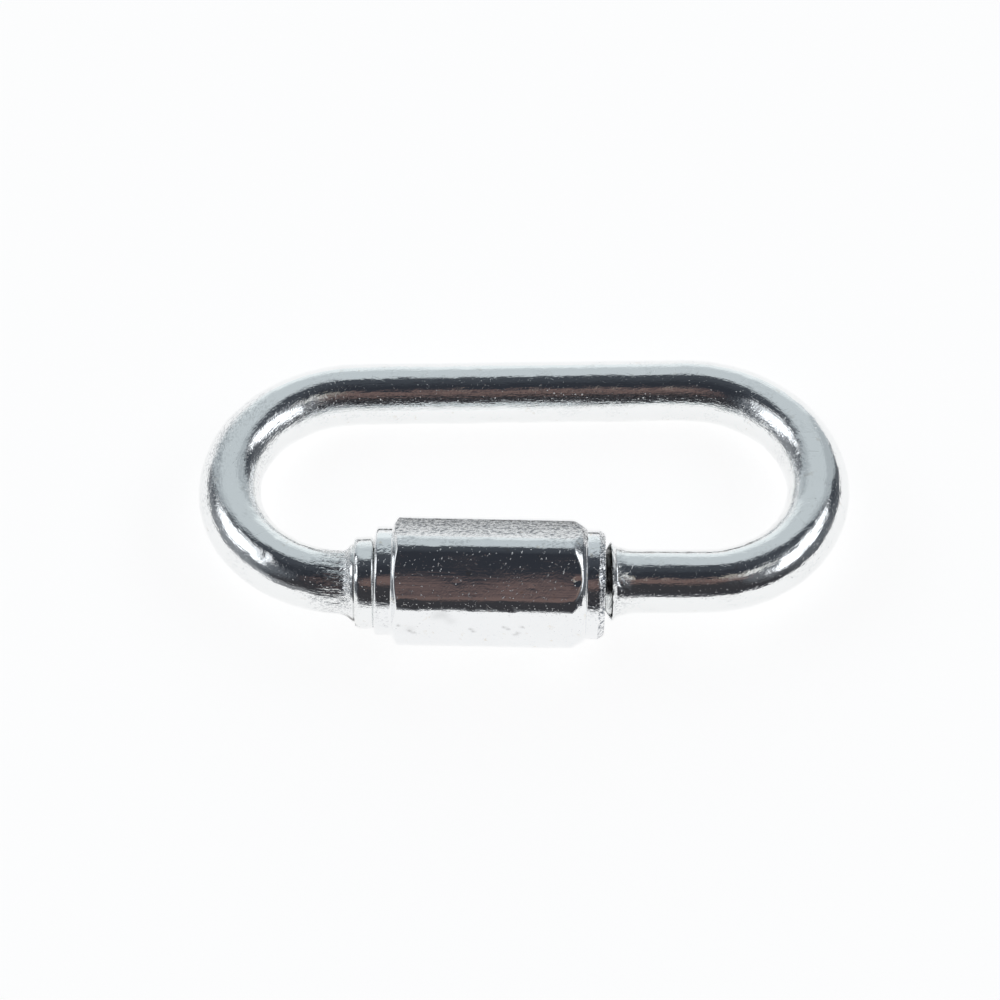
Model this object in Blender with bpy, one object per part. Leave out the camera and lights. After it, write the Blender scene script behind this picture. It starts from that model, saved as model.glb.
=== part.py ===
"""Chain quick link: a round bar bent into a long oval, closed by a hexagonal sleeve nut.

The bar is one piece. Its left end carries a stop collar and a short stub, its right end a long
stud, and the space between stub and stud is the gate. The sleeve nut bridges the gate, seated on
the stop collar. Unscrewed, it runs to the right, over the stud, until the gate is open.

The link lies on a floor at z = 0. Its bar rests there along the far leg, and its near leg is held
up by the nut, so the plane of the oval leans a little. Threads are plain cylinders here.
"""

import math

import bmesh
import bpy
from mathutils import Matrix, Vector

MM = 0.001

# The oval, measured to the bar's outside or to its axis
OVERALL_LENGTH = 52.6 * MM
WIRE_DIAMETER = 5.0 * MM
NEAR_BEND_RADIUS = 9.7 * MM
FAR_BEND_RADIUS = 10.4 * MM

# Thread shared by the stub, the stud and the nut
THREAD_DIAMETER = 6.0 * MM
THREAD_PITCH = 1.0 * MM
LEAD_CHAMFER = 0.5 * MM

# Left end of the bar: neck, stop collar and stub
NECK_LENGTH = 0.4 * MM
NECK_FILLET = 0.35 * MM
COLLAR_WIDTH = 1.55 * MM
COLLAR_DIAMETER = 7.2 * MM
COLLAR_EDGE = 0.2 * MM
STUB_LENGTH = 2.3 * MM

# Right end of the bar: stud, relief groove and flare
GATE_WIDTH = 5.5 * MM
GROOVE_WIDTH = 0.45 * MM
GROOVE_DIAMETER = 5.2 * MM
FLARE_LENGTH = 1.4 * MM

# The sleeve nut
SEAT_GAP = 0.15 * MM
RUNNING_CLEARANCE = 0.05 * MM
HEX_LENGTH = 15.4 * MM
ACROSS_FLATS = 9.4 * MM
CORNER_RADIUS = 1.9 * MM
HEX_FACE_DIAMETER = 8.9 * MM
LEFT_CHAMFER = 0.45 * MM
RIGHT_CHAMFER = 1.2 * MM
LEFT_COLLAR_WIDTH = 1.3 * MM
LEFT_COLLAR_DIAMETER = 8.6 * MM
RIGHT_COLLAR_WIDTH = 1.2 * MM
RIGHT_COLLAR_DIAMETER = 8.7 * MM
LEFT_COLLAR_EDGE = 0.2 * MM
RIGHT_COLLAR_EDGE = 0.35 * MM
GROOVE_MARGIN = 0.3 * MM
MOUTH_CHAMFER = 0.25 * MM
COUNTERBORE_CLEARANCE = 0.5 * MM
OPEN_TURNS = 8

# How far a flat has turned past square to the oval's plane when the nut comes to its seat
SEATED_TURN = math.radians(4)

# How finely round shapes are divided
BAR_SIDES = 32
NUT_SIDES = 48
BEND_STEPS = 17
CURVE_STEPS = 5
CORNER_STEPS = 5

# Lengths that follow from the sizes above
WIRE_RADIUS = WIRE_DIAMETER / 2
THREAD_RADIUS = THREAD_DIAMETER / 2
COLLAR_RADIUS = COLLAR_DIAMETER / 2
HALF_LENGTH = OVERALL_LENGTH / 2 - WIRE_RADIUS
LEG_SPACING = NEAR_BEND_RADIUS + FAR_BEND_RADIUS
NEAR_BEND_PLACE = HALF_LENGTH - NEAR_BEND_RADIUS
FAR_BEND_PLACE = HALF_LENGTH - FAR_BEND_RADIUS
COLLAR_PLACE = NECK_LENGTH - NEAR_BEND_PLACE
SEAT_PLACE = COLLAR_PLACE + COLLAR_WIDTH
STUB_TIP = SEAT_PLACE + STUB_LENGTH
STUD_TIP = STUB_TIP + GATE_WIDTH
NUT_LENGTH = LEFT_COLLAR_WIDTH + HEX_LENGTH + RIGHT_COLLAR_WIDTH
NUT_START = SEAT_PLACE + SEAT_GAP
NUT_END = NUT_START + NUT_LENGTH
GROOVE_PLACE = NUT_END + GROOVE_MARGIN
TRAVEL = OPEN_TURNS * THREAD_PITCH

# Half of the hexagon's height over corners comes from the centre of a corner's arc
CORNER_CENTRE = (ACROSS_FLATS / 2 - CORNER_RADIUS) / math.cos(math.radians(30))


def material(name, colour, roughness):
    """A bare metal of this colour."""
    metal = bpy.data.materials.new(name)
    metal.use_nodes = True
    shader = metal.node_tree.nodes["Principled BSDF"]
    shader.inputs["Base Color"].default_value = (*colour, 1)
    shader.inputs["Metallic"].default_value = 1
    shader.inputs["Roughness"].default_value = roughness
    return metal


def finish(bm, name, metal, parent=None):
    """Turns the bmesh into an object, smooth on its round surfaces and sharp at its edges."""
    bmesh.ops.recalc_face_normals(bm, faces=bm.faces)
    mesh = bpy.data.meshes.new(name)
    bm.to_mesh(mesh)
    bm.free()
    mesh.shade_smooth()
    mesh.set_sharp_from_angle(angle=math.radians(30))
    mesh.materials.append(metal)
    piece = bpy.data.objects.new(name, mesh)
    piece.parent = parent
    bpy.context.scene.collection.objects.link(piece)
    return piece


def arc(centre, radius, start, end, steps):
    """Points on an arc, as (along, out) pairs. Angles are in degrees, from the along direction."""
    points = []
    for step in range(steps + 1):
        angle = math.radians(start + (end - start) * step / steps)
        points.append((centre[0] + radius * math.cos(angle), centre[1] + radius * math.sin(angle)))
    return points


def stub_profile():
    """(x, radius) along the bar's left end, from the stub's tip to the start of the bend."""
    root = WIRE_RADIUS + NECK_FILLET
    edge = COLLAR_RADIUS - COLLAR_EDGE
    profile = [
        (STUB_TIP, THREAD_RADIUS - LEAD_CHAMFER),
        (STUB_TIP - LEAD_CHAMFER, THREAD_RADIUS),
        (SEAT_PLACE, THREAD_RADIUS),
    ]
    profile += arc((SEAT_PLACE - COLLAR_EDGE, edge), COLLAR_EDGE, 0, 90, CURVE_STEPS)
    profile += arc((COLLAR_PLACE + COLLAR_EDGE, edge), COLLAR_EDGE, 90, 180, CURVE_STEPS)
    profile += arc((COLLAR_PLACE - NECK_FILLET, root), NECK_FILLET, 0, -90, CURVE_STEPS)
    return profile


def stud_profile():
    """(x, radius) along the bar's right end, from the end of the bend to the stud's tip."""
    flare_start = GROOVE_PLACE + GROOVE_WIDTH
    swell = THREAD_RADIUS - WIRE_RADIUS
    profile = []
    for step in range(CURVE_STEPS + 1):
        share = step / CURVE_STEPS
        x = flare_start + FLARE_LENGTH * (1 - share)
        profile.append((x, WIRE_RADIUS + swell * share**2))
    profile += [
        (flare_start, GROOVE_DIAMETER / 2),
        (GROOVE_PLACE, GROOVE_DIAMETER / 2),
        (GROOVE_PLACE, THREAD_RADIUS),
        (STUD_TIP + LEAD_CHAMFER, THREAD_RADIUS),
        (STUD_TIP, THREAD_RADIUS - LEAD_CHAMFER),
    ]
    return profile


def bend(centre_x, centre_y, radius, start):
    """Stations round a quarter of the oval, clockwise from this angle: (centre, heading)."""
    stations = []
    for step in range(BEND_STEPS + 1):
        angle = math.radians(start - 90 * step / BEND_STEPS)
        centre = Vector((centre_x, centre_y, 0)) + radius * Vector((math.cos(angle), math.sin(angle), 0))
        stations.append((centre, angle - math.pi / 2))
    return stations


def bar_stations():
    """(centre, heading, radius) of each cross-section, from the stub's tip round to the stud's."""
    near_y = NEAR_BEND_RADIUS
    quarters = [
        bend(-NEAR_BEND_PLACE, near_y, NEAR_BEND_RADIUS, 270),
        bend(-FAR_BEND_PLACE, near_y, FAR_BEND_RADIUS, 180)[1:],
        bend(FAR_BEND_PLACE, near_y, FAR_BEND_RADIUS, 90),
        bend(NEAR_BEND_PLACE, near_y, NEAR_BEND_RADIUS, 0)[1:],
    ]
    back = math.radians(180)
    stations = [(Vector((x, 0, 0)), back, radius) for x, radius in stub_profile()]
    for quarter in quarters:
        stations += [(centre, heading, WIRE_RADIUS) for centre, heading in quarter]
    stations += [(Vector((x, 0, 0)), -back, radius) for x, radius in stud_profile()]
    return stations


def make_link_body(metal, parent):
    """The bent bar: one circle at each station, joined to the next by a band of faces."""
    bm = bmesh.new()
    normal = Vector((0, 0, 1))
    rings = []
    for centre, heading, radius in bar_stations():
        forward = Vector((math.cos(heading), math.sin(heading), 0))
        turn = Matrix((normal, forward.cross(normal), forward)).transposed().to_4x4()
        place = Matrix.Translation(centre) @ turn
        made = bmesh.ops.create_circle(bm, segments=BAR_SIDES, radius=radius, matrix=place)
        rings.append(made["verts"])
    for first, second in zip(rings, rings[1:]):
        for side in range(BAR_SIDES):
            after = (side + 1) % BAR_SIDES
            bm.faces.new((first[side], first[after], second[after], second[side]))
    bm.faces.new(rings[0])
    bm.faces.new(rings[-1])
    return finish(bm, "link_body", metal, parent)


def nut_profile():
    """(x, radius) round the section of the turned nut, measured from the nut's left face."""
    hex_start = LEFT_COLLAR_WIDTH
    hex_end = hex_start + HEX_LENGTH
    left = LEFT_COLLAR_DIAMETER / 2
    right = RIGHT_COLLAR_DIAMETER / 2
    left_edge = LEFT_COLLAR_EDGE
    right_edge = RIGHT_COLLAR_EDGE
    face = HEX_FACE_DIAMETER / 2
    corner = CORNER_CENTRE + CORNER_RADIUS
    bore = THREAD_RADIUS + RUNNING_CLEARANCE
    counterbore = THREAD_RADIUS + COUNTERBORE_CLEARANCE
    thread_end = GROOVE_PLACE - TRAVEL - NUT_START
    slope = counterbore - bore
    profile = arc((left_edge, left - left_edge), left_edge, 180, 90, CURVE_STEPS)
    profile += [(hex_start, left), (hex_start, face)]
    profile += [(hex_start + LEFT_CHAMFER, corner), (hex_end - RIGHT_CHAMFER, corner)]
    profile += [(hex_end, face), (hex_end, right)]
    profile += arc((NUT_LENGTH - right_edge, right - right_edge), right_edge, 90, 0, CURVE_STEPS)
    profile += [(NUT_LENGTH, counterbore + MOUTH_CHAMFER), (NUT_LENGTH - MOUTH_CHAMFER, counterbore)]
    profile += [(thread_end, counterbore), (thread_end - slope, bore)]
    profile += [(MOUTH_CHAMFER, bore), (0, bore + MOUTH_CHAMFER)]
    return profile


def turned(bm, profile, sides):
    """Spins a closed section of (x, radius) points once round the X axis."""
    section = [bm.verts.new((x, 0, radius)) for x, radius in profile]
    edges = [bm.edges.new(pair) for pair in zip(section, section[1:] + section[:1])]
    bmesh.ops.spin(
        bm,
        geom=edges,
        cent=(0, 0, 0),
        axis=(1, 0, 0),
        angle=math.tau,
        steps=sides,
        use_merge=True,
    )


def hexagon():
    """Outline of the hexagonal bar with rounded corners, one corner straight up."""
    outline = []
    for corner in range(6):
        out = 30 + 60 * corner
        angle = math.radians(out)
        centre = (CORNER_CENTRE * math.cos(angle), CORNER_CENTRE * math.sin(angle))
        outline += arc(centre, CORNER_RADIUS, out - 30, out + 30, CORNER_STEPS)
    return outline


def make_hexagonal_bar():
    """The stock that the nut is turned from: it only guides the nut's Boolean."""
    bm = bmesh.new()
    start = -ACROSS_FLATS / 2
    length = NUT_LENGTH + ACROSS_FLATS
    face = bm.faces.new([bm.verts.new((start, y, z)) for y, z in hexagon()])
    swept = bmesh.ops.extrude_face_region(bm, geom=[face])
    moved = [item for item in swept["geom"] if isinstance(item, bmesh.types.BMVert)]
    bmesh.ops.translate(bm, verts=moved, vec=(length, 0, 0))
    bmesh.ops.recalc_face_normals(bm, faces=bm.faces)
    mesh = bpy.data.meshes.new("hexagonal_bar")
    bm.to_mesh(mesh)
    bm.free()
    bar = bpy.data.objects.new("hexagonal_bar", mesh)
    bar.hide_render = True
    bar.display_type = "WIRE"
    bpy.context.scene.collection.objects.link(bar)
    return bar


def make_sleeve_nut(metal, parent):
    """The nut: a turned sleeve kept where it lies inside hexagonal bar."""
    bm = bmesh.new()
    turned(bm, nut_profile(), NUT_SIDES)
    nut = finish(bm, "sleeve_nut", metal)
    stock = make_hexagonal_bar()
    cut = nut.modifiers.new("hexagon", "BOOLEAN")
    cut.operation = "INTERSECT"
    cut.object = stock
    graph = bpy.context.evaluated_depsgraph_get()
    mesh = bpy.data.meshes.new_from_object(nut.evaluated_get(graph))
    nut.modifiers.clear()
    bpy.data.objects.remove(stock)
    nut.data = mesh
    mesh.shade_smooth()
    mesh.set_sharp_from_angle(angle=math.radians(20))
    nut.parent = parent
    nut.location = (NUT_START, 0, 0)
    nut.rotation_euler = (SEATED_TURN, 0, 0)
    return nut


def lean():
    """Angle between the oval's plane and the floor.

    The nut lies on one corner, so the near leg's axis is above the floor by CORNER_CENTRE *
    cos(lean - SEATED_TURN) + CORNER_RADIUS, and the far leg's is by WIRE_RADIUS. The difference
    is LEG_SPACING * sin(lean).
    """
    beside = LEG_SPACING - CORNER_CENTRE * math.sin(SEATED_TURN)
    above = CORNER_CENTRE * math.cos(SEATED_TURN)
    rise = math.asin((CORNER_RADIUS - WIRE_RADIUS) / math.hypot(beside, above))
    return math.atan2(above, beside) + rise


def stand_on_floor(plane, pieces):
    """Moves the link so that the middle of its underside is the origin."""
    bpy.context.view_layer.update()
    corners = [piece.matrix_world @ vertex.co for piece in pieces for vertex in piece.data.vertices]
    low = Vector([min(point[axis] for point in corners) for axis in range(3)])
    high = Vector([max(point[axis] for point in corners) for axis in range(3)])
    plane.location -= Vector(((low.x + high.x) / 2, (low.y + high.y) / 2, low.z))


def main():
    for old in list(bpy.data.objects):
        bpy.data.objects.remove(old, do_unlink=True)
    plane = bpy.data.objects.new("link_plane", None)
    bpy.context.scene.collection.objects.link(plane)
    plane.rotation_euler = (-lean(), 0, 0)
    zinc = material("zinc_plated_bar", (0.80, 0.82, 0.83), 0.16)
    nut_zinc = material("zinc_plated_nut", (0.80, 0.81, 0.80), 0.20)
    body = make_link_body(zinc, plane)
    nut = make_sleeve_nut(nut_zinc, plane)
    stand_on_floor(plane, [body, nut])


main()
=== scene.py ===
"""A chain quick link of zinc plated steel, lying closed on a white studio floor."""

import math

import bpy
import numpy as np
from mathutils import Matrix, Vector


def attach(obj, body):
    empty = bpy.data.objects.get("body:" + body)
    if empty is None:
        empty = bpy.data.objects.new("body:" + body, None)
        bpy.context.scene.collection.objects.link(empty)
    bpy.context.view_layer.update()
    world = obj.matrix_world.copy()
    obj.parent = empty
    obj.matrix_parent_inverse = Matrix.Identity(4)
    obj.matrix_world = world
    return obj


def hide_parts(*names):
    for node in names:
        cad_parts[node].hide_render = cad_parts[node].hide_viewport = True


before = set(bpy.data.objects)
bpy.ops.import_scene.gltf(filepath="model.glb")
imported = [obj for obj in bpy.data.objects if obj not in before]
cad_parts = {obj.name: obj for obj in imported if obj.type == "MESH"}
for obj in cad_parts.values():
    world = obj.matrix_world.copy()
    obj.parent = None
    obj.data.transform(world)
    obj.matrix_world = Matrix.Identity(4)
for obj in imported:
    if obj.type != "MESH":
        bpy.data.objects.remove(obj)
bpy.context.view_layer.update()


# The link's body: drawn steel wire, 5 mm thick, bent into a long oval that stays open in one leg.
# Its left end is upset into a stop collar and a stub of thread, its right end carries a long stud
# with a relief groove and a flare. The bent wire is barrelled, then plated with bright zinc.

MM = 0.001
WIRE_RADIUS = 2.5
FAR_LEG_HALF = 13.4
FAR_BEND = 10.4
NEAR_BEND = 9.7
BEND_EASE = 2.4
LEG_SPACING = FAR_BEND + NEAR_BEND
NEAR_LEG_Y = -8.816
NEAR_LEG_Z = 5.1228
LEAN = math.radians(7.5101)
LEG_RUNOUT = -0.0125

PITCH = 1.0
STUB_TIP = -9.85
SEAT = -12.15
COLLAR_LEFT = -13.7
COLLAR_RADIUS = 3.6
COLLAR_EDGE = 0.26
NECK_END = -15.2
STUD_TIP = -4.35
THREAD_CREST = 2.94
THREAD_ROOT = 2.36
GROOVE_LEFT = 5.8
GROOVE_RIGHT = 6.62
GROOVE_RADIUS = 2.36
FLARE_LIP = 3.16
FLARE_RADIUS = 2.79
FLARE_START = 6.98
FLARE_END = 8.45
STUD_OUTLINE_END = 14.0
RING_POINTS = 116


def half_oval():
    """Axis of half the oval in its own plane, as arrays (distance, along, across, heading).

    Against distance from the far leg's middle the curvature is 0, 1 / far bend, 1 / near bend and
    0 again, softened over BEND_EASE. The heading is its running sum, and the place is the running
    sum of the heading's cosine and sine, stretched a trace so that it ends on the near leg.
    """
    step = 0.01
    far_end = FAR_LEG_HALF + FAR_BEND * math.pi / 2
    near_end = far_end + NEAR_BEND * math.pi / 2
    distance = np.arange(0, near_end + 20, step)
    bends = [distance < FAR_LEG_HALF, distance < far_end, distance < near_end]
    curvature = np.select(bends, [0, 1 / FAR_BEND, 1 / NEAR_BEND], 0)
    window = np.hanning(int(BEND_EASE / step) | 1)
    padded = np.pad(curvature, len(window) // 2, mode="edge")
    curvature = np.convolve(padded, window / window.sum(), "valid")
    heading = -np.cumsum(curvature) * step
    along = np.cumsum(np.cos(heading)) * step
    across = LEG_SPACING + np.cumsum(np.sin(heading)) * step
    across = (across - across[-1]) * LEG_SPACING / (LEG_SPACING - across[-1])
    return distance, along, across, heading


def near_leg_distance(x):
    """Distance along the half oval at which its near leg reaches this place."""
    leg = oval_distance > FAR_LEG_HALF + FAR_BEND * math.pi / 2 + NEAR_BEND
    return np.interp(-x, -oval_along[leg], oval_distance[leg])


def fillet(centre, radius, start, end, steps=6):
    """Points (x, radius) on an arc, with angles in degrees from the x direction."""
    angle = np.radians(np.linspace(start, end, steps + 1))
    return list(zip(centre[0] + radius * np.cos(angle), centre[1] + radius * np.sin(angle)))


def divided(points, longest):
    """The same chain of points with every straight piece cut into parts no longer than this."""
    points = np.array(points, float)
    parts = [points[:1]]
    for start, end in zip(points[:-1], points[1:]):
        count = max(1, math.ceil(np.linalg.norm(end - start) / longest - 1e-6))
        share = np.linspace(0, 1, count + 1)[1:, None]
        parts.append(start + (end - start) * share)
    return np.concatenate(parts)


def thread(x, turn, crest, root):
    """Radius of a metric thread: a crest wherever x / PITCH less the turn is a whole number.

    The crest is flat for 1/8 pitch, the root for 1/4, and straight flanks join them.
    """
    phase = x / PITCH - turn
    off_crest = np.abs(phase - np.round(phase))
    return root + (crest - root) * np.clip((0.375 - off_crest) / 0.3125, 0, 1)


def waves(along, turn, seed, lengths, folds, count=14):
    """Sum of slow waves along and round a bar, of mean square 1: how far from true it has come."""
    random = np.random.default_rng(seed)
    total = np.zeros(np.broadcast(along, turn).shape)
    for _ in range(count):
        length = random.uniform(*lengths)
        fold = random.integers(folds[0], folds[1] + 1) * random.choice((-1, 1))
        total += np.sin(2 * math.pi * (along / length + fold * turn + random.random()))
    return total * math.sqrt(2 / count)


def bump_at(along, turn, places, width, height, radius):
    """Sum of round dents of a Gaussian section, each at (along, turn), on a bar of this radius."""
    total = 0
    for place, at_turn in places:
        round_way = (turn - at_turn + 0.5) % 1 - 0.5
        gap = ((along - place) ** 2 + (round_way * 2 * math.pi * radius) ** 2) / width**2
        total = total + height * np.exp(-gap)
    return total


def ring_mesh(name, points, closed_loop):
    """Mesh of a grid of rings. A tube's end rings have no width, and each is one vertex there."""
    rows, ring = points.shape[:2]
    bands = rows if closed_loop else rows - 1
    row, column = np.meshgrid(np.arange(bands), np.arange(ring), indexing="ij")
    below, beside = (row + 1) % rows, (column + 1) % ring
    corners = ((row, column), (row, beside), (below, beside), (below, column))
    quads = np.stack([a * ring + b for a, b in corners], -1).reshape(-1, 4)
    flat = points.reshape(-1, 3) * MM
    if closed_loop:
        faces = quads.tolist()
    else:
        quads = quads - (ring - 1)
        first, last = quads[:ring], quads[-ring:]
        first_fan = np.stack([np.zeros(ring, int), first[:, 2], first[:, 3]], -1)
        end = (rows - 2) * ring + 1
        last_fan = np.stack([last[:, 0], last[:, 1], np.full(ring, end)], -1)
        faces = first_fan.tolist() + quads[ring:-ring].tolist() + last_fan.tolist()
        flat = np.concatenate([flat[:1], flat[ring:-ring], flat[-1:]])
    mesh = bpy.data.meshes.new(name)
    mesh.from_pydata(flat.tolist(), [], faces)
    mesh.update()
    mesh.shade_smooth()
    mesh.set_sharp_from_angle(angle=math.radians(38))
    return mesh


def grid_attribute(mesh, name, kind, values, closed_loop):
    """Keeps one value or vector per vertex of a ring mesh, for its material to read."""
    grid = values.reshape(values.shape[0], values.shape[1], -1)
    width = grid.shape[2]
    if closed_loop:
        flat = grid.reshape(-1, width)
    else:
        flat = np.concatenate([grid[0, :1], grid[1:-1].reshape(-1, width), grid[-1, :1]])
    field = "vector" if kind == "FLOAT_VECTOR" else "value"
    attribute = mesh.attributes.new(name, kind, "POINT")
    attribute.data.foreach_set(field, flat.astype(np.float32).ravel())


def from_link_plane(x, across, height):
    """Row-frame place, in mm, of a point given along, across and above the oval's plane."""
    y = NEAR_LEG_Y + across * math.cos(LEAN) + height * math.sin(LEAN)
    z = NEAR_LEG_Z - across * math.sin(LEAN) + height * math.cos(LEAN)
    return np.stack(np.broadcast_arrays(x, y, z), -1)


oval_distance, oval_along, oval_across, oval_heading = half_oval()

# The stub, from its tip over the stop collar to the neck, as points (along, radius)
stub_outline = [(STUB_TIP, 0), (STUB_TIP, 2.2)]
stub_outline += fillet((STUB_TIP - 0.12, 2.3), 0.12, 0, 60, 2)
stub_outline += [(STUB_TIP - 0.55, THREAD_CREST), (SEAT + 0.5, THREAD_CREST)]
stub_outline += [(SEAT + 0.12, 2.72), (SEAT, 2.8)]
stub_outline += fillet((SEAT - COLLAR_EDGE, COLLAR_RADIUS - 0.20), COLLAR_EDGE, 0, 80)
stub_outline += [(SEAT - 0.75, COLLAR_RADIUS + 0.06)]
stub_outline += [(COLLAR_LEFT + 0.30, COLLAR_RADIUS + 0.01), (COLLAR_LEFT + 0.23, COLLAR_RADIUS - 0.02)]
stub_outline += [(COLLAR_LEFT + 0.03, COLLAR_RADIUS - 0.14), (COLLAR_LEFT, COLLAR_RADIUS - 0.19)]
stub_outline += [(COLLAR_LEFT, 3.14), (COLLAR_LEFT - 0.05, 3.05), (COLLAR_LEFT - 0.12, 3.08)]
stub_outline += [(COLLAR_LEFT - 0.28, 2.98), (COLLAR_LEFT - 0.44, 2.82), (COLLAR_LEFT - 0.6, 2.68)]
stub_outline += [(COLLAR_LEFT - 0.8, 2.57), (COLLAR_LEFT - 1.1, 2.51), (NECK_END, WIRE_RADIUS)]
stub_outline = divided(stub_outline, 0.1)

# The stud, from the plain wire over the flare and the groove to its tip
flare = np.linspace(0, 1, 12)
flare_x = FLARE_END - (FLARE_END - FLARE_START) * flare
stud_outline = [(STUD_OUTLINE_END, WIRE_RADIUS), (FLARE_END + 0.2, WIRE_RADIUS)]
stud_outline += list(zip(flare_x, WIRE_RADIUS + (FLARE_RADIUS - WIRE_RADIUS) * flare**1.3))
stud_outline += [(FLARE_START - 0.10, FLARE_RADIUS + 0.09), (GROOVE_RIGHT + 0.07, FLARE_LIP - 0.03)]
stud_outline += [(GROOVE_RIGHT, FLARE_LIP), (GROOVE_RIGHT - 0.06, FLARE_LIP - 0.05)]
stud_outline += [(GROOVE_RIGHT - 0.42, GROOVE_RADIUS + 0.06), (GROOVE_RIGHT - 0.5, GROOVE_RADIUS)]
stud_outline += [(GROOVE_LEFT + 0.1, GROOVE_RADIUS), (GROOVE_LEFT, GROOVE_RADIUS + 0.1)]
stud_outline += [(GROOVE_LEFT, 2.9), (GROOVE_LEFT - 0.08, THREAD_CREST)]
stud_outline += [(STUD_TIP + 0.55, THREAD_CREST), (STUD_TIP, 2.35), (STUD_TIP, 0)]
stud_outline = divided(stud_outline, 0.125)

# Stations run along the wire's axis from the stub's tip to the stud's, with 0 in the far leg's
# middle, and angles run round it, with 0 on the outside of the oval
stub_end = -near_leg_distance(-NECK_END)
stud_start = near_leg_distance(STUD_OUTLINE_END)
stops = [stub_end, -30, -13, 13, 30, stud_start]
wire_middle = divided([(stop, 0) for stop in stops], 0.165)[1:-1, 0]
stub_station = -near_leg_distance(-stub_outline[:, 0])
stud_station = near_leg_distance(stud_outline[:, 0])
station = np.concatenate([stub_station, wire_middle, stud_station])
plain_wire = np.full(len(wire_middle), WIRE_RADIUS)
outline = np.concatenate([stub_outline[:, 1], plain_wire, stud_outline[:, 1]])

side = np.sign(station)
axis_x = side * np.interp(np.abs(station), oval_distance, oval_along)
axis_across = np.interp(np.abs(station), oval_distance, oval_across)
axis_across = axis_across + LEG_RUNOUT * axis_x * (1 - axis_across / LEG_SPACING) ** 2
heading = side * np.interp(np.abs(station), oval_distance, oval_heading)
station, axis_x, axis_across, heading = (a[:, None] for a in (station, axis_x, axis_across, heading))
turn = (np.arange(RING_POINTS) / RING_POINTS)[None, :]
angle = 2 * math.pi * turn

# Threads are cut only where the outline is at the crest, on the stub and on the stud
radius = np.repeat(outline[:, None], RING_POINTS, axis=1)
cut = thread(axis_x, 0.5 - turn, THREAD_CREST, THREAD_ROOT)
on_near_leg = np.abs(station) > near_leg_distance(13.0)
on_stub = on_near_leg & (station < 0) & (axis_x > SEAT + 0.1)
on_stud = on_near_leg & (station > 0) & (axis_x < GROOVE_LEFT - 0.02)
runout = np.clip((SEAT + 0.75 - axis_x) / 0.6, 0, 1) * on_stub
cut = cut + (THREAD_CREST - cut) * runout
radius = np.where(on_stub | on_stud, np.minimum(radius, cut), radius)

# The former and the barrel leave the wire slightly out of round, the press wrinkles its neck
bare = ~(on_stub | on_stud)
plain = bare * np.minimum(1, outline[:, None] / 2)
radius += 0.010 * waves(station, turn, 3, (4, 11), (1, 3)) * plain
radius += 0.0035 * waves(station, turn, 4, (1.2, 3), (2, 7), 22) * plain
from_collar = station + near_leg_distance(-COLLAR_LEFT)
neck = np.exp(-((from_collar - 1.0) / 1.6) ** 2) * np.clip((from_collar - 0.12) / 0.3, 0, 1)
neck *= (station < 0) & bare
wrinkle = waves(station, turn, 8, (1.6, 6), (11, 30), 40)
radius -= 0.034 * neck * np.clip(wrinkle + 0.3, 0, 2.2)
at_collar = np.exp(-((from_collar + 0.1) / 0.35) ** 2)
radius += 0.012 * waves(station, turn, 9, (0.5, 1.1), (9, 24), 40) * at_collar
from_flare = (axis_x - 6.95) / 0.85
flared = np.exp(-from_flare**2) * on_near_leg * (station > 0) * (axis_x > GROOVE_RIGHT)
lip = np.exp(-((axis_x - GROOVE_RIGHT - 0.05) / 0.16) ** 2) * (axis_x > GROOVE_RIGHT - 0.01)
radius += (0.006 + 0.03 * lip) * flared * waves(station, turn, 10, (0.3, 1.0), (6, 30), 40)
press_marks = [(-38.2, 0.30), (-38.7, 0.17), (-37.4, 0.12), (-38.9, 0.40)]
radius -= bump_at(station, turn, press_marks, 0.28, 0.035, WIRE_RADIUS)
bend_dents = [(23.5, 0.42), (24.8, 0.44), (28.0, 0.36), (19.5, 0.43)]
bend_dents += [(-22.3, 0.40), (-27.1, 0.05), (33.5, 0.02)]
radius -= bump_at(station, turn, bend_dents, 0.24, 0.022, WIRE_RADIUS)

outward = radius * np.cos(angle)
upward = radius * np.sin(angle)
wire_x = axis_x - outward * np.sin(heading)
wire_across = axis_across + outward * np.cos(heading)
wire_points = from_link_plane(wire_x, wire_across, upward)

wire_mesh = ring_mesh("wire_body", wire_points, closed_loop=False)
straightened = np.stack(np.broadcast_arrays(station, outward, upward), -1)
grid_attribute(wire_mesh, "straightened", "FLOAT_VECTOR", straightened, closed_loop=False)

# How far forming and handling have marked the skin: most on the neck, then along the far leg's
# inner side and over the left bend
bend_middle = 29
bent = np.abs(np.abs(station) - bend_middle)
inner_side = np.clip((-np.cos(angle) - 0.05) / 0.6, 0, 1)
pressed = np.clip(1.25 - bent / 13, 0, 1) * inner_side
near_flare = np.exp(-((axis_x - 7.1) / 0.9) ** 2) * on_near_leg * (station > 0)
upper = np.clip((np.sin(angle) + 0.15) / 0.5, 0.3, 1)
far_side = np.abs(station) < 25
low_band = np.exp(-((np.sin(angle) - 0.6) / 0.16) ** 2) * (np.cos(angle) < 0) * far_side
top_outside = np.clip(np.sin(angle) + 0.3, 0, 1) * np.clip(np.cos(angle) + 0.5, 0, 1)
left_wear = np.exp(-((station + 26.5) / 6.5) ** 2) * top_outside
worked = 0.38 + 0.12 * pressed * upper + 0.87 * neck * upper
worked = worked + 0.24 * near_flare + 0.32 * low_band + 0.30 * left_wear
grid_attribute(wire_mesh, "worked", "FLOAT", worked, closed_loop=False)

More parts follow.
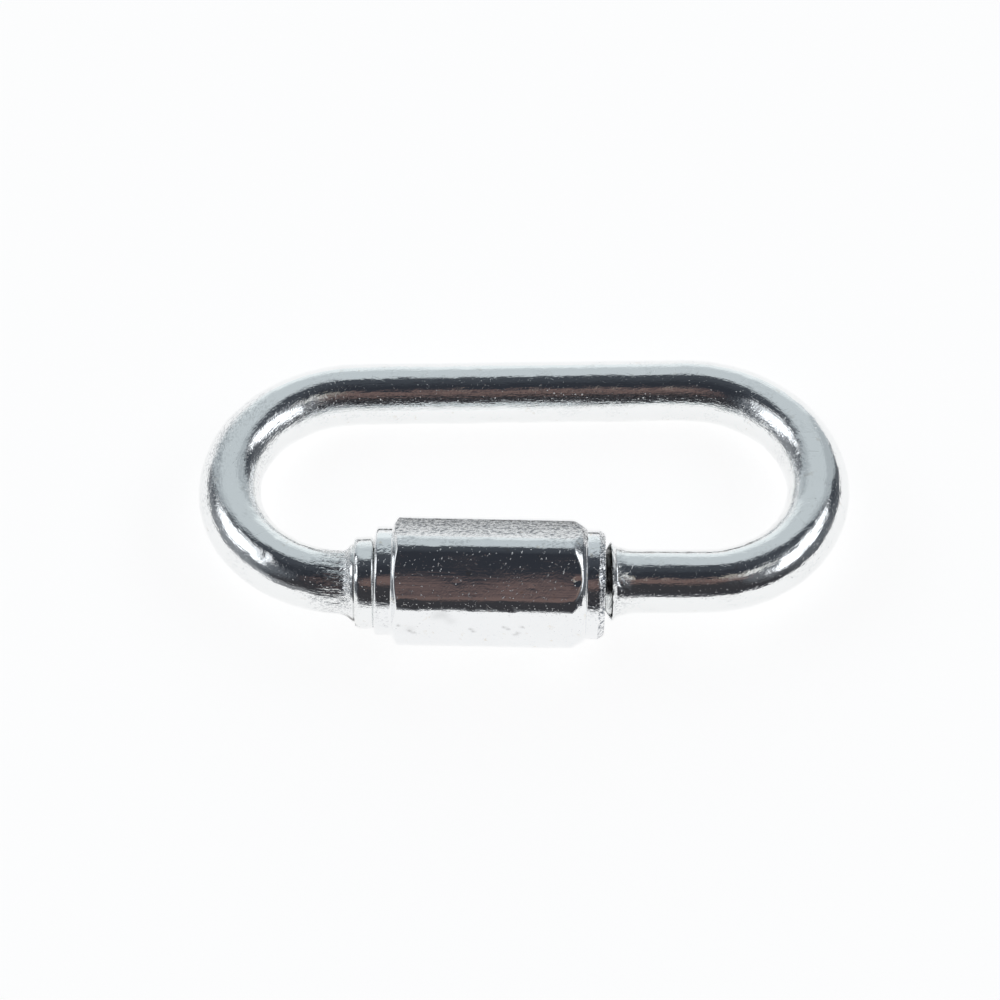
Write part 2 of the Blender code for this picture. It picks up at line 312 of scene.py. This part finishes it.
# Painted shade darkens the groove, the crevice behind the stop collar and one spot beside it
in_groove = on_near_leg * (station > 0) * np.clip((GROOVE_RIGHT - 0.02 - axis_x) / 0.06, 0, 1)
in_groove = in_groove * (axis_x > GROOVE_LEFT - 0.2) * np.clip((np.sin(angle) - 0.4) / 0.25, 0, 1)
crevice = np.exp(-((from_collar - 0.08) / 0.05) ** 2) * (station < 0)
collar_station = -near_leg_distance(-COLLAR_LEFT)
shade_spot = bump_at(station, turn, [(collar_station + 0.24, 0.94)], 0.27, 1.8, 3.0)
grime_and_shade = np.clip(0.72 * in_groove + 0.2 * crevice + shade_spot, 0, 1)
grid_attribute(wire_mesh, "grime_and_shade", "FLOAT", grime_and_shade, closed_loop=False)


def socket(group, name, kind, default=None, out=False):
    """Adds one named socket to a node group."""
    made = group.interface.new_socket(name, in_out="OUTPUT" if out else "INPUT", socket_type=kind)
    if default is not None:
        made.default_value = default


def node(tree, kind, inputs=None, **settings):
    """Adds a node, sets its options and joins or fills its inputs."""
    made = tree.nodes.new(kind)
    for option, value in settings.items():
        setattr(made, option, value)
    for key, value in (inputs or {}).items():
        if isinstance(value, bpy.types.NodeSocket):
            tree.links.new(value, made.inputs[key])
        else:
            made.inputs[key].default_value = value
    return made


def maths(tree, operation, first, second=0.0, clamp=False):
    """The output of a Math node."""
    inputs = {0: first, 1: second}
    return node(tree, "ShaderNodeMath", inputs, operation=operation, use_clamp=clamp).outputs[0]


def eased(tree, value, low, high, to_low=0.0, to_high=1.0):
    """The output of a Map Range node that eases a value from one range into another."""
    inputs = {"Value": value, "From Min": low, "From Max": high, "To Min": to_low, "To Max": to_high}
    return node(tree, "ShaderNodeMapRange", inputs, interpolation_type="SMOOTHSTEP").outputs["Result"]


def stretched_noise(tree, place, scale, detail, along=1.0, turned=0.0):
    """Noise on coordinates in mm, drawn out along x by this factor after a turn about z."""
    drawn_out = (along / scale, 1 / scale, 1 / scale)
    inputs = {"Vector": place, "Rotation": (0, 0, turned), "Scale": drawn_out}
    mapped = node(tree, "ShaderNodeMapping", inputs, vector_type="TEXTURE").outputs[0]
    inputs = {"Vector": mapped, "Scale": 1.0, "Detail": detail, "Roughness": 0.55}
    return node(tree, "ShaderNodeTexNoise", inputs).outputs["Fac"]


# Bright zinc: thin plating that keeps every mark of the steel. Heights are in thousandths of a mm
zinc = bpy.data.node_groups.new("bright_zinc", "ShaderNodeTree")
socket(zinc, "Place", "NodeSocketVector")
zinc_inputs = {"Worked": 0.2, "Ripple": 10.0, "Peel": 5.0, "Grain": 3.0, "Drawn": 6.0, "Pits": 8.0}
zinc_inputs.update({"Scratches": 4.0, "Stain": 0.1, "Bloom": 0.5, "Etch": 0.4})
for name, amount in zinc_inputs.items():
    socket(zinc, name, "NodeSocketFloat", amount)
for name in ("Height", "Gloss Loss", "Stained", "Dusted", "Etched"):
    socket(zinc, name, "NodeSocketFloat", out=True)
given = zinc.nodes.new("NodeGroupInput").outputs
place = given["Place"]
patches = eased(zinc, stretched_noise(zinc, place, 0.5, 3, along=1.5), 0.42, 0.62)
handled = maths(zinc, "ADD", maths(zinc, "MULTIPLY", patches, 0.45), given["Worked"], clamp=True)

# The skin's own ripple and finer peel, then a grain and drawn lines, strongest where it is rubbed
ripple = maths(zinc, "MULTIPLY", stretched_noise(zinc, place, 1.3, 2, along=1.6), given["Ripple"])
peel = maths(zinc, "MULTIPLY", stretched_noise(zinc, place, 4.6, 1), given["Peel"])
rubbed = maths(zinc, "MULTIPLY", maths(zinc, "POWER", given["Worked"], 2.0), 2.2)
grain = maths(zinc, "MULTIPLY", stretched_noise(zinc, place, 7.0, 2, along=1.7, turned=0.7), given["Grain"])
coarse = maths(zinc, "ADD", maths(zinc, "MULTIPLY", rubbed, 0.55), maths(zinc, "MULTIPLY", patches, 0.3))
grain = maths(zinc, "MULTIPLY", grain, maths(zinc, "ADD", coarse, 0.06))
lines = maths(zinc, "MULTIPLY", stretched_noise(zinc, place, 4.0, 2, along=14), 0.35)
strokes = maths(zinc, "MULTIPLY", stretched_noise(zinc, place, 7.5, 2, along=5.5), rubbed)
lines = maths(zinc, "MULTIPLY", maths(zinc, "ADD", lines, strokes), given["Drawn"])

# Pits of two sizes, each in the middle of a cell and as wide as the cell's own lot allows
holes = 0.0
for scale, widest in ((2.4, 0.30), (5.2, 0.36)):
    cells = node(zinc, "ShaderNodeTexVoronoi", {"Vector": place, "Scale": scale, "Randomness": 1.0})
    lot = node(zinc, "ShaderNodeSeparateColor", {0: cells.outputs["Color"]}).outputs[0]
    allowed = maths(zinc, "MULTIPLY", handled, widest)
    size = maths(zinc, "ADD", maths(zinc, "MULTIPLY", maths(zinc, "POWER", lot, 3.0), allowed), 0.02)
    hole = eased(zinc, maths(zinc, "DIVIDE", cells.outputs["Distance"], size), 0.3, 1.0, 1.0, 0.0)
    hole = maths(zinc, "MULTIPLY", hole, maths(zinc, "MULTIPLY", size, 3.0))
    holes = maths(zinc, "ADD", holes, hole)
holes = maths(zinc, "MULTIPLY", holes, given["Pits"])

# Scratches in two directions, where a noise drawn out long is at its highest
first_cut = eased(zinc, stretched_noise(zinc, place, 6.5, 1, along=16, turned=1.25), 0.69, 0.76)
second_cut = eased(zinc, stretched_noise(zinc, place, 5.5, 1, along=20, turned=-0.5), 0.70, 0.77)
cuts = maths(zinc, "MAXIMUM", first_cut, second_cut)
scratches = maths(zinc, "MULTIPLY", cuts, given["Scratches"])
raised = maths(zinc, "ADD", maths(zinc, "ADD", ripple, peel), maths(zinc, "ADD", grain, lines))
height = maths(zinc, "SUBTRACT", raised, maths(zinc, "ADD", holes, scratches))
height = maths(zinc, "MULTIPLY", height, 0.001)

# Gloss lost to handling, then brown stains and grey etching in patches
dull = maths(zinc, "MULTIPLY", patches, 0.05)
dull = maths(zinc, "ADD", dull, maths(zinc, "MULTIPLY", maths(zinc, "MINIMUM", rubbed, 2.0), 0.02))
dull = maths(zinc, "ADD", dull, maths(zinc, "MULTIPLY", cuts, 0.08))
blot = eased(zinc, stretched_noise(zinc, place, 1.1, 4), 0.62, 0.76)
blot = maths(zinc, "MULTIPLY", blot, given["Stain"])
etched = eased(zinc, stretched_noise(zinc, place, 6.5, 2, along=2.2, turned=0.4), 0.46, 0.62)
most = maths(zinc, "ADD", maths(zinc, "SUBTRACT", rubbed, 0.5), maths(zinc, "MULTIPLY", patches, 0.3))
most = maths(zinc, "MULTIPLY", most, 1.2, clamp=True)
etched = maths(zinc, "MULTIPLY", etched, most)
etched = maths(zinc, "MULTIPLY", etched, given["Etch"])

# White specks of zinc oxide: a grain in some cells of a scatter, its edge broken by noise
cells = node(zinc, "ShaderNodeTexVoronoi", {"Vector": place, "Scale": 3.4, "Randomness": 1.0})
lot = node(zinc, "ShaderNodeSeparateColor", {0: cells.outputs["Color"]}).outputs[1]
lot = maths(zinc, "ADD", lot, maths(zinc, "MULTIPLY", patches, 0.22))
size = eased(zinc, lot, 0.92, 1.22, 0.0, 0.20)
broken = maths(zinc, "MULTIPLY", stretched_noise(zinc, place, 14.0, 1), 0.22)
away = maths(zinc, "ADD", cells.outputs["Distance"], broken)
dust = eased(zinc, maths(zinc, "SUBTRACT", away, size), 0.04, 0.10, 1.0, 0.0)
dust = maths(zinc, "MULTIPLY", dust, given["Bloom"])
results = {"Height": height, "Gloss Loss": dull, "Stained": blot, "Dusted": dust, "Etched": etched}
node(zinc, "NodeGroupOutput", results)

ETCHED_GREY = (0.13, 0.15, 0.18, 1)
# Dark brown for real dirt on the nut and for painted shade in the wire's groove and crevice and on the
# nut's back flat
GRIME_AND_SHADE_BROWN = (0.07, 0.065, 0.06, 1)


def laid_over(tree, share, below, above):
    """The colour below with this share of the colour above laid over it."""
    inputs = {"Factor": share, "A": below, "B": above}
    return node(tree, "ShaderNodeMix", inputs, data_type="RGBA").outputs["Result"]


def plated(name, colour, stain, roughness, place_from, effects):
    """A material of bright zinc with its own share of each effect."""
    metal = bpy.data.materials.new(name)
    metal.use_nodes = True
    tree = metal.node_tree
    shader = tree.nodes["Principled BSDF"]
    source = node(tree, "ShaderNodeAttribute", attribute_name=place_from).outputs["Vector"]
    worked = node(tree, "ShaderNodeAttribute", attribute_name="worked").outputs["Fac"]
    grime_and_shade = node(tree, "ShaderNodeAttribute", attribute_name="grime_and_shade").outputs["Fac"]
    inputs = {"Place": source, "Worked": worked, **effects}
    skin = node(tree, "ShaderNodeGroup", inputs, node_tree=zinc)
    bare = maths(tree, "SUBTRACT", 1.0, skin.outputs["Dusted"])
    tree.links.new(bare, shader.inputs["Metallic"])
    rough = maths(tree, "ADD", skin.outputs["Gloss Loss"], roughness)
    rough = maths(tree, "ADD", rough, maths(tree, "MULTIPLY", skin.outputs["Dusted"], 0.4))
    tree.links.new(rough, shader.inputs["Roughness"])
    covered = laid_over(tree, skin.outputs["Stained"], (*colour, 1), (*stain, 1))
    covered = laid_over(tree, skin.outputs["Etched"], covered, ETCHED_GREY)
    # The grime attribute lays dark brown over the colour: real dirt in places, painted shade in others
    covered = laid_over(tree, grime_and_shade, covered, GRIME_AND_SHADE_BROWN)
    tree.links.new(covered, shader.inputs["Base Color"])
    inputs = {"Height": skin.outputs["Height"], "Strength": 1.0, "Distance": MM}
    bumped = node(tree, "ShaderNodeBump", inputs)
    tree.links.new(bumped.outputs[0], shader.inputs["Normal"])
    return metal


wire_effects = {"Ripple": 11, "Peel": 8, "Grain": 15, "Drawn": 24, "Pits": 24, "Scratches": 4}
wire_effects.update({"Stain": 0.2, "Bloom": 0.4, "Etch": 0.45})
wire_colour = (0.915, 0.925, 0.925)
wire_stain = (0.50, 0.40, 0.30)
wire_zinc = plated("bright_zinc_on_wire", wire_colour, wire_stain, 0.07, "straightened", wire_effects)
wire_mesh.materials.append(wire_zinc)
wire = bpy.data.objects.new("wire_body", wire_mesh)
bpy.context.scene.collection.objects.link(wire)
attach(wire, "link")
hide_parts("link_body")


# The sleeve nut: hexagonal steel bar turned down to a collar at each end, chamfered, threaded in
# its left part and bored plain in its right part, then plated as the wire is. It is screwed over
# the gate against the stop collar, and lies a little askew.

NUT_LEFT = -12.07
HEX_LEFT = -10.7
HEX_RIGHT = 4.62
NUT_RIGHT = 6.08
MOUTH_START = 5.55
MOUTH_RADIUS = 4.02
FLAT_RADIUS = 4.7
CORNER_ROUNDING = 1.9
FLAT_BULGE = 0.06
CORNER_CENTRE = (FLAT_RADIUS - CORNER_ROUNDING) / math.cos(math.pi / 6)
NUT_ROLL = math.radians(3.4)
LEFT_COLLAR = 4.3
LEFT_EDGE = 0.27
SEAT_RIM = 3.7
RIGHT_COLLAR = 4.35
HEX_FACE = 4.45
NUT_CREST = 3.16
NUT_ROOT = 2.64
COUNTERBORE = 3.5
THREAD_STOP = -1.8
THREAD_END = THREAD_STOP - 0.5
SKEW = math.radians(2.2)
SKEW_PLACE = -3.1
NUT_POINTS = 372


def hexagon_radius(turned):
    """Distance from the nut's axis to its rounded hexagon, by the angle from the link's plane.

    Near a corner it is where a ray meets the corner's arc, elsewhere where it meets the flat. A
    small cosine wave is added, which bulges the flats and eases the corners.
    """
    from_corner = (turned - NUT_ROLL) % (math.pi / 3) - math.pi / 6
    inside = CORNER_ROUNDING**2 - (CORNER_CENTRE * np.sin(from_corner)) ** 2
    corner = CORNER_CENTRE * np.cos(from_corner) + np.sqrt(np.maximum(inside, 0))
    flat = FLAT_RADIUS / np.cos(math.pi / 6 - np.abs(from_corner))
    reach = math.atan2(CORNER_ROUNDING / 2, CORNER_CENTRE + CORNER_ROUNDING * math.cos(math.pi / 6))
    bulge = FLAT_BULGE * (1 + np.cos(6 * from_corner)) / 2
    return np.where(np.abs(from_corner) < reach, corner, flat) + FLAT_BULGE / 2 - bulge


def lesser(first, second, blend):
    """The smaller of two radii, with the edge between them rounded over about this length."""
    low = np.minimum(first, second)
    return low - blend * np.log(np.exp((low - first) / blend) + np.exp((low - second) / blend))


# The nut's outline runs over its outside from left to right and back through its bore. Between
# the chamfers it stands clear of the hexagon, whose radius is then the lesser
corner_radius = CORNER_CENTRE + CORNER_ROUNDING
clear_of_hexagon = corner_radius + 0.2
left_end = [(NUT_LEFT, NUT_CREST + 0.06)]
left_end += fillet((NUT_LEFT + LEFT_EDGE, LEFT_COLLAR - LEFT_EDGE), LEFT_EDGE, 180, 90)
left_end += [(HEX_LEFT - 0.06, LEFT_COLLAR), (HEX_LEFT, LEFT_COLLAR + 0.05)]
left_end += [(HEX_LEFT, HEX_FACE - 0.03), (HEX_LEFT + 0.03, HEX_FACE)]
left_end += [(HEX_LEFT + 0.45, corner_radius), (HEX_LEFT + 0.6, clear_of_hexagon)]
flats = [(HEX_LEFT + 0.6, clear_of_hexagon), (HEX_RIGHT - 1.5, clear_of_hexagon)]
right_end = [(HEX_RIGHT - 1.5, clear_of_hexagon), (HEX_RIGHT - 1.2, corner_radius + 0.02)]
right_end += [(HEX_RIGHT - 0.75, 4.93), (HEX_RIGHT - 0.35, 4.71)]
right_end += [(HEX_RIGHT - 0.06, HEX_FACE + 0.03), (HEX_RIGHT, HEX_FACE - 0.06)]
right_end += [(HEX_RIGHT, RIGHT_COLLAR + 0.05), (HEX_RIGHT + 0.06, RIGHT_COLLAR)]
right_end += [(MOUTH_START - 0.04, RIGHT_COLLAR), (MOUTH_START + 0.04, RIGHT_COLLAR - 0.02)]
right_end += [(NUT_RIGHT - 0.05, MOUTH_RADIUS + 0.02), (NUT_RIGHT, MOUTH_RADIUS - 0.06)]
right_end += [(NUT_RIGHT, COUNTERBORE + 0.2), (NUT_RIGHT - 0.2, COUNTERBORE)]
bore = [(NUT_RIGHT - 0.2, COUNTERBORE), (THREAD_STOP, COUNTERBORE), (THREAD_END, NUT_CREST)]
threaded = [(THREAD_END, NUT_ROOT), (NUT_LEFT + 0.25, NUT_ROOT)]
left_end = divided(left_end, 0.09)
flats = divided(flats, 0.22)[1:]
right_end = divided(right_end, 0.09)[1:]
bore = divided(bore, 0.6)[1:]
threaded = divided(threaded, 0.115)
nut_outline = np.concatenate([left_end, flats, right_end, bore, threaded])

nut_x = nut_outline[:, :1]
nut_turn = (np.arange(NUT_POINTS) / NUT_POINTS)[None, :]
nut_angle = 2 * math.pi * nut_turn
nut_radius = lesser(nut_outline[:, 1:], hexagon_radius(nut_angle), 0.028)
in_thread = (np.arange(len(nut_outline)) >= len(nut_outline) - len(threaded))[:, None]
nut_thread = thread(nut_x, nut_turn, NUT_CREST, NUT_ROOT)
entry = np.clip((NUT_LEFT + 0.65 - nut_x) / 0.4, 0, 1)
nut_thread = np.maximum(nut_thread, NUT_ROOT + 0.32 * entry)
nut_radius = np.where(in_thread, nut_thread, nut_radius)

# Flats are drawn, not ground, so they wave a little, and the barrel has nicked the corners
outer = nut_radius > 4.0
nut_radius = nut_radius - 0.003 * (1 + waves(nut_x, nut_turn, 11, (4, 12), (3, 8))) * outer
nut_radius -= 0.0006 * waves(nut_x, nut_turn, 12, (0.8, 2.6), (8, 26), 26) * outer
corner_nicks = [(-7.4, 0.256), (-3.2, 0.247), (1.1, 0.253), (-9.6, 0.414), (-8.8, 0.419)]
corner_nicks += [(-4.3, 0.420), (-1.9, 0.417), (-1.2, 0.424), (3.4, 0.415), (-9.2, 0.245)]
corner_nicks += [(3.9, 0.35), (2.1, 0.583), (-6.0, 0.75)]
nut_radius -= bump_at(nut_x, nut_turn, corner_nicks, 0.26, 0.05, 5.0) * outer
face_dents = [(-7.2, 0.292), (-9.4, 0.465), (-8.7, 0.480), (-4.4, 0.457), (-2.1, 0.461), (-1.8, 0.475)]
face_dents += [(-0.7, 0.468), (-10.2, 0.47), (0.4, 0.37), (-5.5, 0.36), (-6.4, 0.13), (1.5, 0.20)]
nut_radius -= bump_at(nut_x, nut_turn, face_dents, 0.17, 0.018, 4.8) * outer
mouth = np.clip((nut_x - MOUTH_START) / 0.1, 0, 1) * (nut_radius > COUNTERBORE + 0.1)
nut_radius = nut_radius + 0.012 * waves(nut_x, nut_turn, 13, (0.3, 0.9), (12, 44), 40) * mouth

# The photo's nut lies askew by SKEW. Only its outside and counterbore are turned here: the hidden
# thread and the seat stay in line with the stud, which a real nut's rigid body couldn't do. Turned
# with the rest, the thread would cut into the stud's
nut_across = nut_radius * np.cos(nut_angle)
nut_height = nut_radius * np.sin(nut_angle)
nut_points = from_link_plane(nut_x, nut_across, nut_height)
skew_centre = from_link_plane(SKEW_PLACE, 0.0, 0.0)
skewed = nut_points - skew_centre
skewed = skewed @ np.array(Matrix.Rotation(-SKEW, 3, "Z")).T
leaning = np.clip((nut_radius - SEAT_RIM) / (LEFT_COLLAR - LEFT_EDGE - SEAT_RIM), 0, 1)
leaning = np.where(nut_x < NUT_LEFT + 0.01, leaning, ~in_thread)[:, :, None]
true_points = from_link_plane(nut_x, LEG_RUNOUT * nut_x + nut_across, nut_height)
nut_points = true_points + (skewed + skew_centre - true_points) * leaning

nut_mesh = ring_mesh("hexagonal_nut", nut_points, closed_loop=True)
along_nut = np.stack(np.broadcast_arrays(nut_x, nut_across, nut_height), -1)
grid_attribute(nut_mesh, "along_nut", "FLOAT_VECTOR", along_nut, closed_loop=True)

# The nut's skin is marked on its corners and turned ends, and most at its mouth and on the flat
# that faces back, whose heavy marking and grey etch are partly painted shade that darkens it
from_corner = ((nut_angle - NUT_ROLL) % (math.pi / 3)) - math.pi / 6
near_corner = np.exp(-(from_corner / 0.12) ** 2)
from_middle = np.abs(nut_x + 3.0)
hexagon_half = 7.6
turned_part = np.clip((from_middle - hexagon_half) / 0.3, 0, 1)
back_flat = np.exp(-((nut_turn - 0.178) / 0.062) ** 4) * (from_middle < hexagon_half)
nut_wear_and_shade = 0.16 + 0.25 * near_corner + 0.25 * turned_part + 0.62 * back_flat + 0.6 * mouth
grid_attribute(nut_mesh, "worked", "FLOAT", nut_wear_and_shade, closed_loop=True)
stain_places = [(-6.8, 0.440), (-6.4, 0.447), (-7.2, 0.450), (-9.2, 0.505), (-6.0, 0.468)]
nut_grime_and_shade = bump_at(nut_x, nut_turn, stain_places, 0.42, 0.10, 4.7)
nick_places = [(-9.2, 0.514), (-8.9, 0.522), (-4.2, 0.510), (-1.8, 0.489), (-1.5, 0.497)]
nick_places += [(-0.7, 0.514), (-0.4, 0.487), (-10.1, 0.49), (-0.9, 0.522), (-4.4, 0.50)]
nut_grime_and_shade = nut_grime_and_shade + bump_at(nut_x, nut_turn, nick_places, 0.14, 0.38, 4.7)
# Painted shade: the flat that faces back is darkened evenly a little
nut_grime_and_shade = nut_grime_and_shade + 0.16 * back_flat
grid_attribute(nut_mesh, "grime_and_shade", "FLOAT", np.clip(nut_grime_and_shade, 0, 1), closed_loop=True)

nut_effects = {"Ripple": 4, "Peel": 2, "Grain": 17, "Drawn": 15, "Pits": 18, "Scratches": 9}
nut_effects.update({"Stain": 0.3, "Bloom": 0.28, "Etch": 0.85})
nut_colour = (0.908, 0.918, 0.925)
nut_stain = (0.60, 0.48, 0.28)
nut_zinc = plated("bright_zinc_on_nut", nut_colour, nut_stain, 0.06, "along_nut", nut_effects)
nut_mesh.materials.append(nut_zinc)
nut = bpy.data.objects.new("hexagonal_nut", nut_mesh)
bpy.context.scene.collection.objects.link(nut)
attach(nut, "nut")
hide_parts("sleeve_nut")


# The floor: white paper under the link, as white in the metal as it is to the camera. It keeps
# the link's shadow.

FLOOR_REACH = 6.0
PAPER_WHITE = 0.87

floor_mesh = bpy.data.meshes.new("paper_floor")
corners = [(x * FLOOR_REACH, y * FLOOR_REACH, 0) for x, y in ((-1, -1), (1, -1), (1, 1), (-1, 1))]
floor_mesh.from_pydata(corners, [], [(0, 1, 2, 3)])
floor = bpy.data.objects.new("paper_floor", floor_mesh)
bpy.context.scene.collection.objects.link(floor)
paper = bpy.data.materials.new("white_paper")
paper.use_nodes = True
tree = paper.node_tree
tree.nodes.clear()

# The camera and the metal see paper that glows by itself, and that answers to light just enough
# to hold the shadow. Light that bounces off the floor meets ordinary white paper
rays = node(tree, "ShaderNodeLightPath").outputs
mirrored = maths(tree, "MAXIMUM", rays["Is Glossy Ray"], rays["Is Transmission Ray"])
seen = maths(tree, "MAXIMUM", rays["Is Camera Ray"], mirrored)
glow = node(tree, "ShaderNodeEmission", {"Strength": PAPER_WHITE})
soft = node(tree, "ShaderNodeBsdfDiffuse", {"Color": (0.9, 0.9, 0.9, 1)})
weak = node(tree, "ShaderNodeBsdfDiffuse", {"Color": (0.3, 0.3, 0.3, 1)})
both = node(tree, "ShaderNodeAddShader", {0: glow.outputs[0], 1: weak.outputs[0]})
chosen = node(tree, "ShaderNodeMixShader", {0: seen, 1: soft.outputs[0], 2: both.outputs[0]})
node(tree, "ShaderNodeOutputMaterial", {"Surface": chosen.outputs[0]})
floor_mesh.materials.append(paper)


# The studio: a dim room with soft oval panels of light, a large one on each side and pale ones
# behind and low down. Where they stand and how bright they are was chosen from the bands that the
# metal mirrors.

room = bpy.data.node_groups.new("soft_panel", "ShaderNodeTree")
for name in ("Direction", "Facing", "Sideways", "Upwards"):
    socket(room, name, "NodeSocketVector")
socket(room, "Half Width", "NodeSocketFloat", 0.4)
socket(room, "Half Height", "NodeSocketFloat", 0.4)
socket(room, "Softness", "NodeSocketFloat", 0.1)
socket(room, "Mask", "NodeSocketFloat", out=True)
given = room.nodes.new("NodeGroupInput").outputs


def measured(axis):
    """How far the direction goes along one of the panel's axes."""
    inputs = {0: given["Direction"], 1: given[axis]}
    return node(room, "ShaderNodeVectorMath", inputs, operation="DOT_PRODUCT").outputs["Value"]


# The mask is 1 inside an oval and 0 outside. How far off a direction is comes from its offsets to
# the side and upwards, each as a share of the oval's half size, squared, added and rooted
ahead = maths(room, "MAXIMUM", measured("Facing"), 0.001)
offsets = []
for axis, half in (("Sideways", "Half Width"), ("Upwards", "Half Height")):
    off = maths(room, "DIVIDE", maths(room, "DIVIDE", measured(axis), ahead), given[half])
    offsets.append(maths(room, "MULTIPLY", off, off))
off = maths(room, "SQRT", maths(room, "ADD", offsets[0], offsets[1]))
inner = maths(room, "SUBTRACT", 1.0, given["Softness"])
outer_edge = maths(room, "ADD", 1.0, given["Softness"])
node(room, "NodeGroupOutput", {"Mask": eased(room, off, inner, outer_edge, 1.0, 0.0)})

world = bpy.data.worlds.new("studio")
bpy.context.scene.world = world
world.use_nodes = True
tree = world.node_tree
tree.nodes.clear()
direction = node(tree, "ShaderNodeTexCoord").outputs["Generated"]


def with_panel(light, azimuth, elevation, half_width, half_height, softness, colour):
    """The room's light with a soft-edged oval of light added to it.

    The azimuth is in degrees from the front, to the right, and the half sizes are in degrees too.
    """
    around, rise = math.radians(azimuth), math.radians(elevation)
    facing = (math.cos(rise) * math.sin(around), -math.cos(rise) * math.cos(around), math.sin(rise))
    sideways = (math.cos(around), math.sin(around), 0)
    upwards = Vector(sideways).cross(Vector(facing)) * -1
    inputs = {"Direction": direction, "Facing": facing, "Sideways": sideways, "Upwards": tuple(upwards)}
    inputs["Half Width"] = math.tan(math.radians(half_width))
    inputs["Half Height"] = math.tan(math.radians(half_height))
    inputs["Softness"] = softness
    mask = node(tree, "ShaderNodeGroup", inputs, node_tree=room).outputs["Mask"]
    inputs = {0: colour, "Scale": mask}
    added = node(tree, "ShaderNodeVectorMath", inputs, operation="SCALE").outputs[0]
    return node(tree, "ShaderNodeVectorMath", {0: light, 1: added}, operation="ADD").outputs[0]


# Each panel as azimuth, elevation, half width, half height, softness and colour
panels = [
    (-100, 35, 22, 12, 0.30, (1.5, 1.54, 1.58)),
    (-88, 35, 29, 21, 0.50, (0.12, 0.13, 0.14)),
    (91, 39, 27, 11.5, 0.34, (1.65, 1.69, 1.73)),
    (80, 40, 34, 24, 0.50, (0.10, 0.11, 0.12)),
    (64, 60, 13, 3.2, 0.60, (0.75, 0.75, 0.72)),
    (38, 66, 9, 2.2, 0.70, (0.42, 0.39, 0.33)),
    (-100, 52, 14, 7, 0.50, (0.70, 0.72, 0.74)),
    (180, 21, 26, 40, 0.10, (0.13, 0.14, 0.14)),
    (180, 21, 44, 40, 0.07, (0.36, 0.395, 0.41)),
    (180, 30, 52, 56, 0.50, (0.028, 0.032, 0.036)),
    (180, 5, 26, 14, 0.45, (0.30, 0.31, 0.30)),
    (-35, 3, 34, 11, 0.50, (0.18, 0.185, 0.19)),
    (-98, 5, 46, 14, 0.50, (0.20, 0.21, 0.22)),
    (100, 5, 40, 13, 0.50, (0.08, 0.085, 0.09)),
    (20, 0.5, 45, 4.5, 0.50, (0.09, 0.09, 0.095)),
    (4, 58.5, 24, 9, 0.55, (0.125, 0.075, 0.060)),
    (10, 30, 60, 25, 0.50, (0.012, 0.008, 0.004)),
]
light = (0.029, 0.033, 0.042)
for panel in panels:
    light = with_panel(light, *panel)

backdrop = node(tree, "ShaderNodeBackground", {"Color": light, "Strength": 1.0})
node(tree, "ShaderNodeOutputWorld", {"Surface": backdrop.outputs[0]})
bpy.context.scene.view_settings.view_transform = "Standard"


# The camera, fitted to the link's outline in the photo: a long lens above and in front of it,
# turned a trace about its own axis.

CAMERA_RISE = math.radians(57.437)
CAMERA_AROUND = math.radians(-2.238)
CAMERA_ROLL = math.radians(1.115)
CAMERA_DISTANCE = 299.55
CAMERA_AIM = Vector((-1.963, 0.119, 3.230))
CAMERA_LENS = 133.2
SENSOR_WIDTH = 36

camera_data = bpy.data.cameras.new("camera")
camera_data.lens = CAMERA_LENS
camera_data.sensor_width = SENSOR_WIDTH
camera_data.clip_start = 0.01
camera_data.clip_end = 10
backward = Vector((
    math.sin(CAMERA_AROUND) * math.cos(CAMERA_RISE),
    -math.cos(CAMERA_AROUND) * math.cos(CAMERA_RISE),
    math.sin(CAMERA_RISE),
))
level_right = Vector((0, 0, 1)).cross(backward).normalized()
level_up = backward.cross(level_right)
right = level_right * math.cos(CAMERA_ROLL) + level_up * math.sin(CAMERA_ROLL)
up = backward.cross(right)
camera = bpy.data.objects.new("camera", camera_data)
turned = Matrix((right, up, backward)).transposed().to_4x4()
camera.matrix_world = Matrix.Translation((CAMERA_AIM + backward * CAMERA_DISTANCE) * MM) @ turned
bpy.context.scene.collection.objects.link(camera)
bpy.context.scene.camera = camera
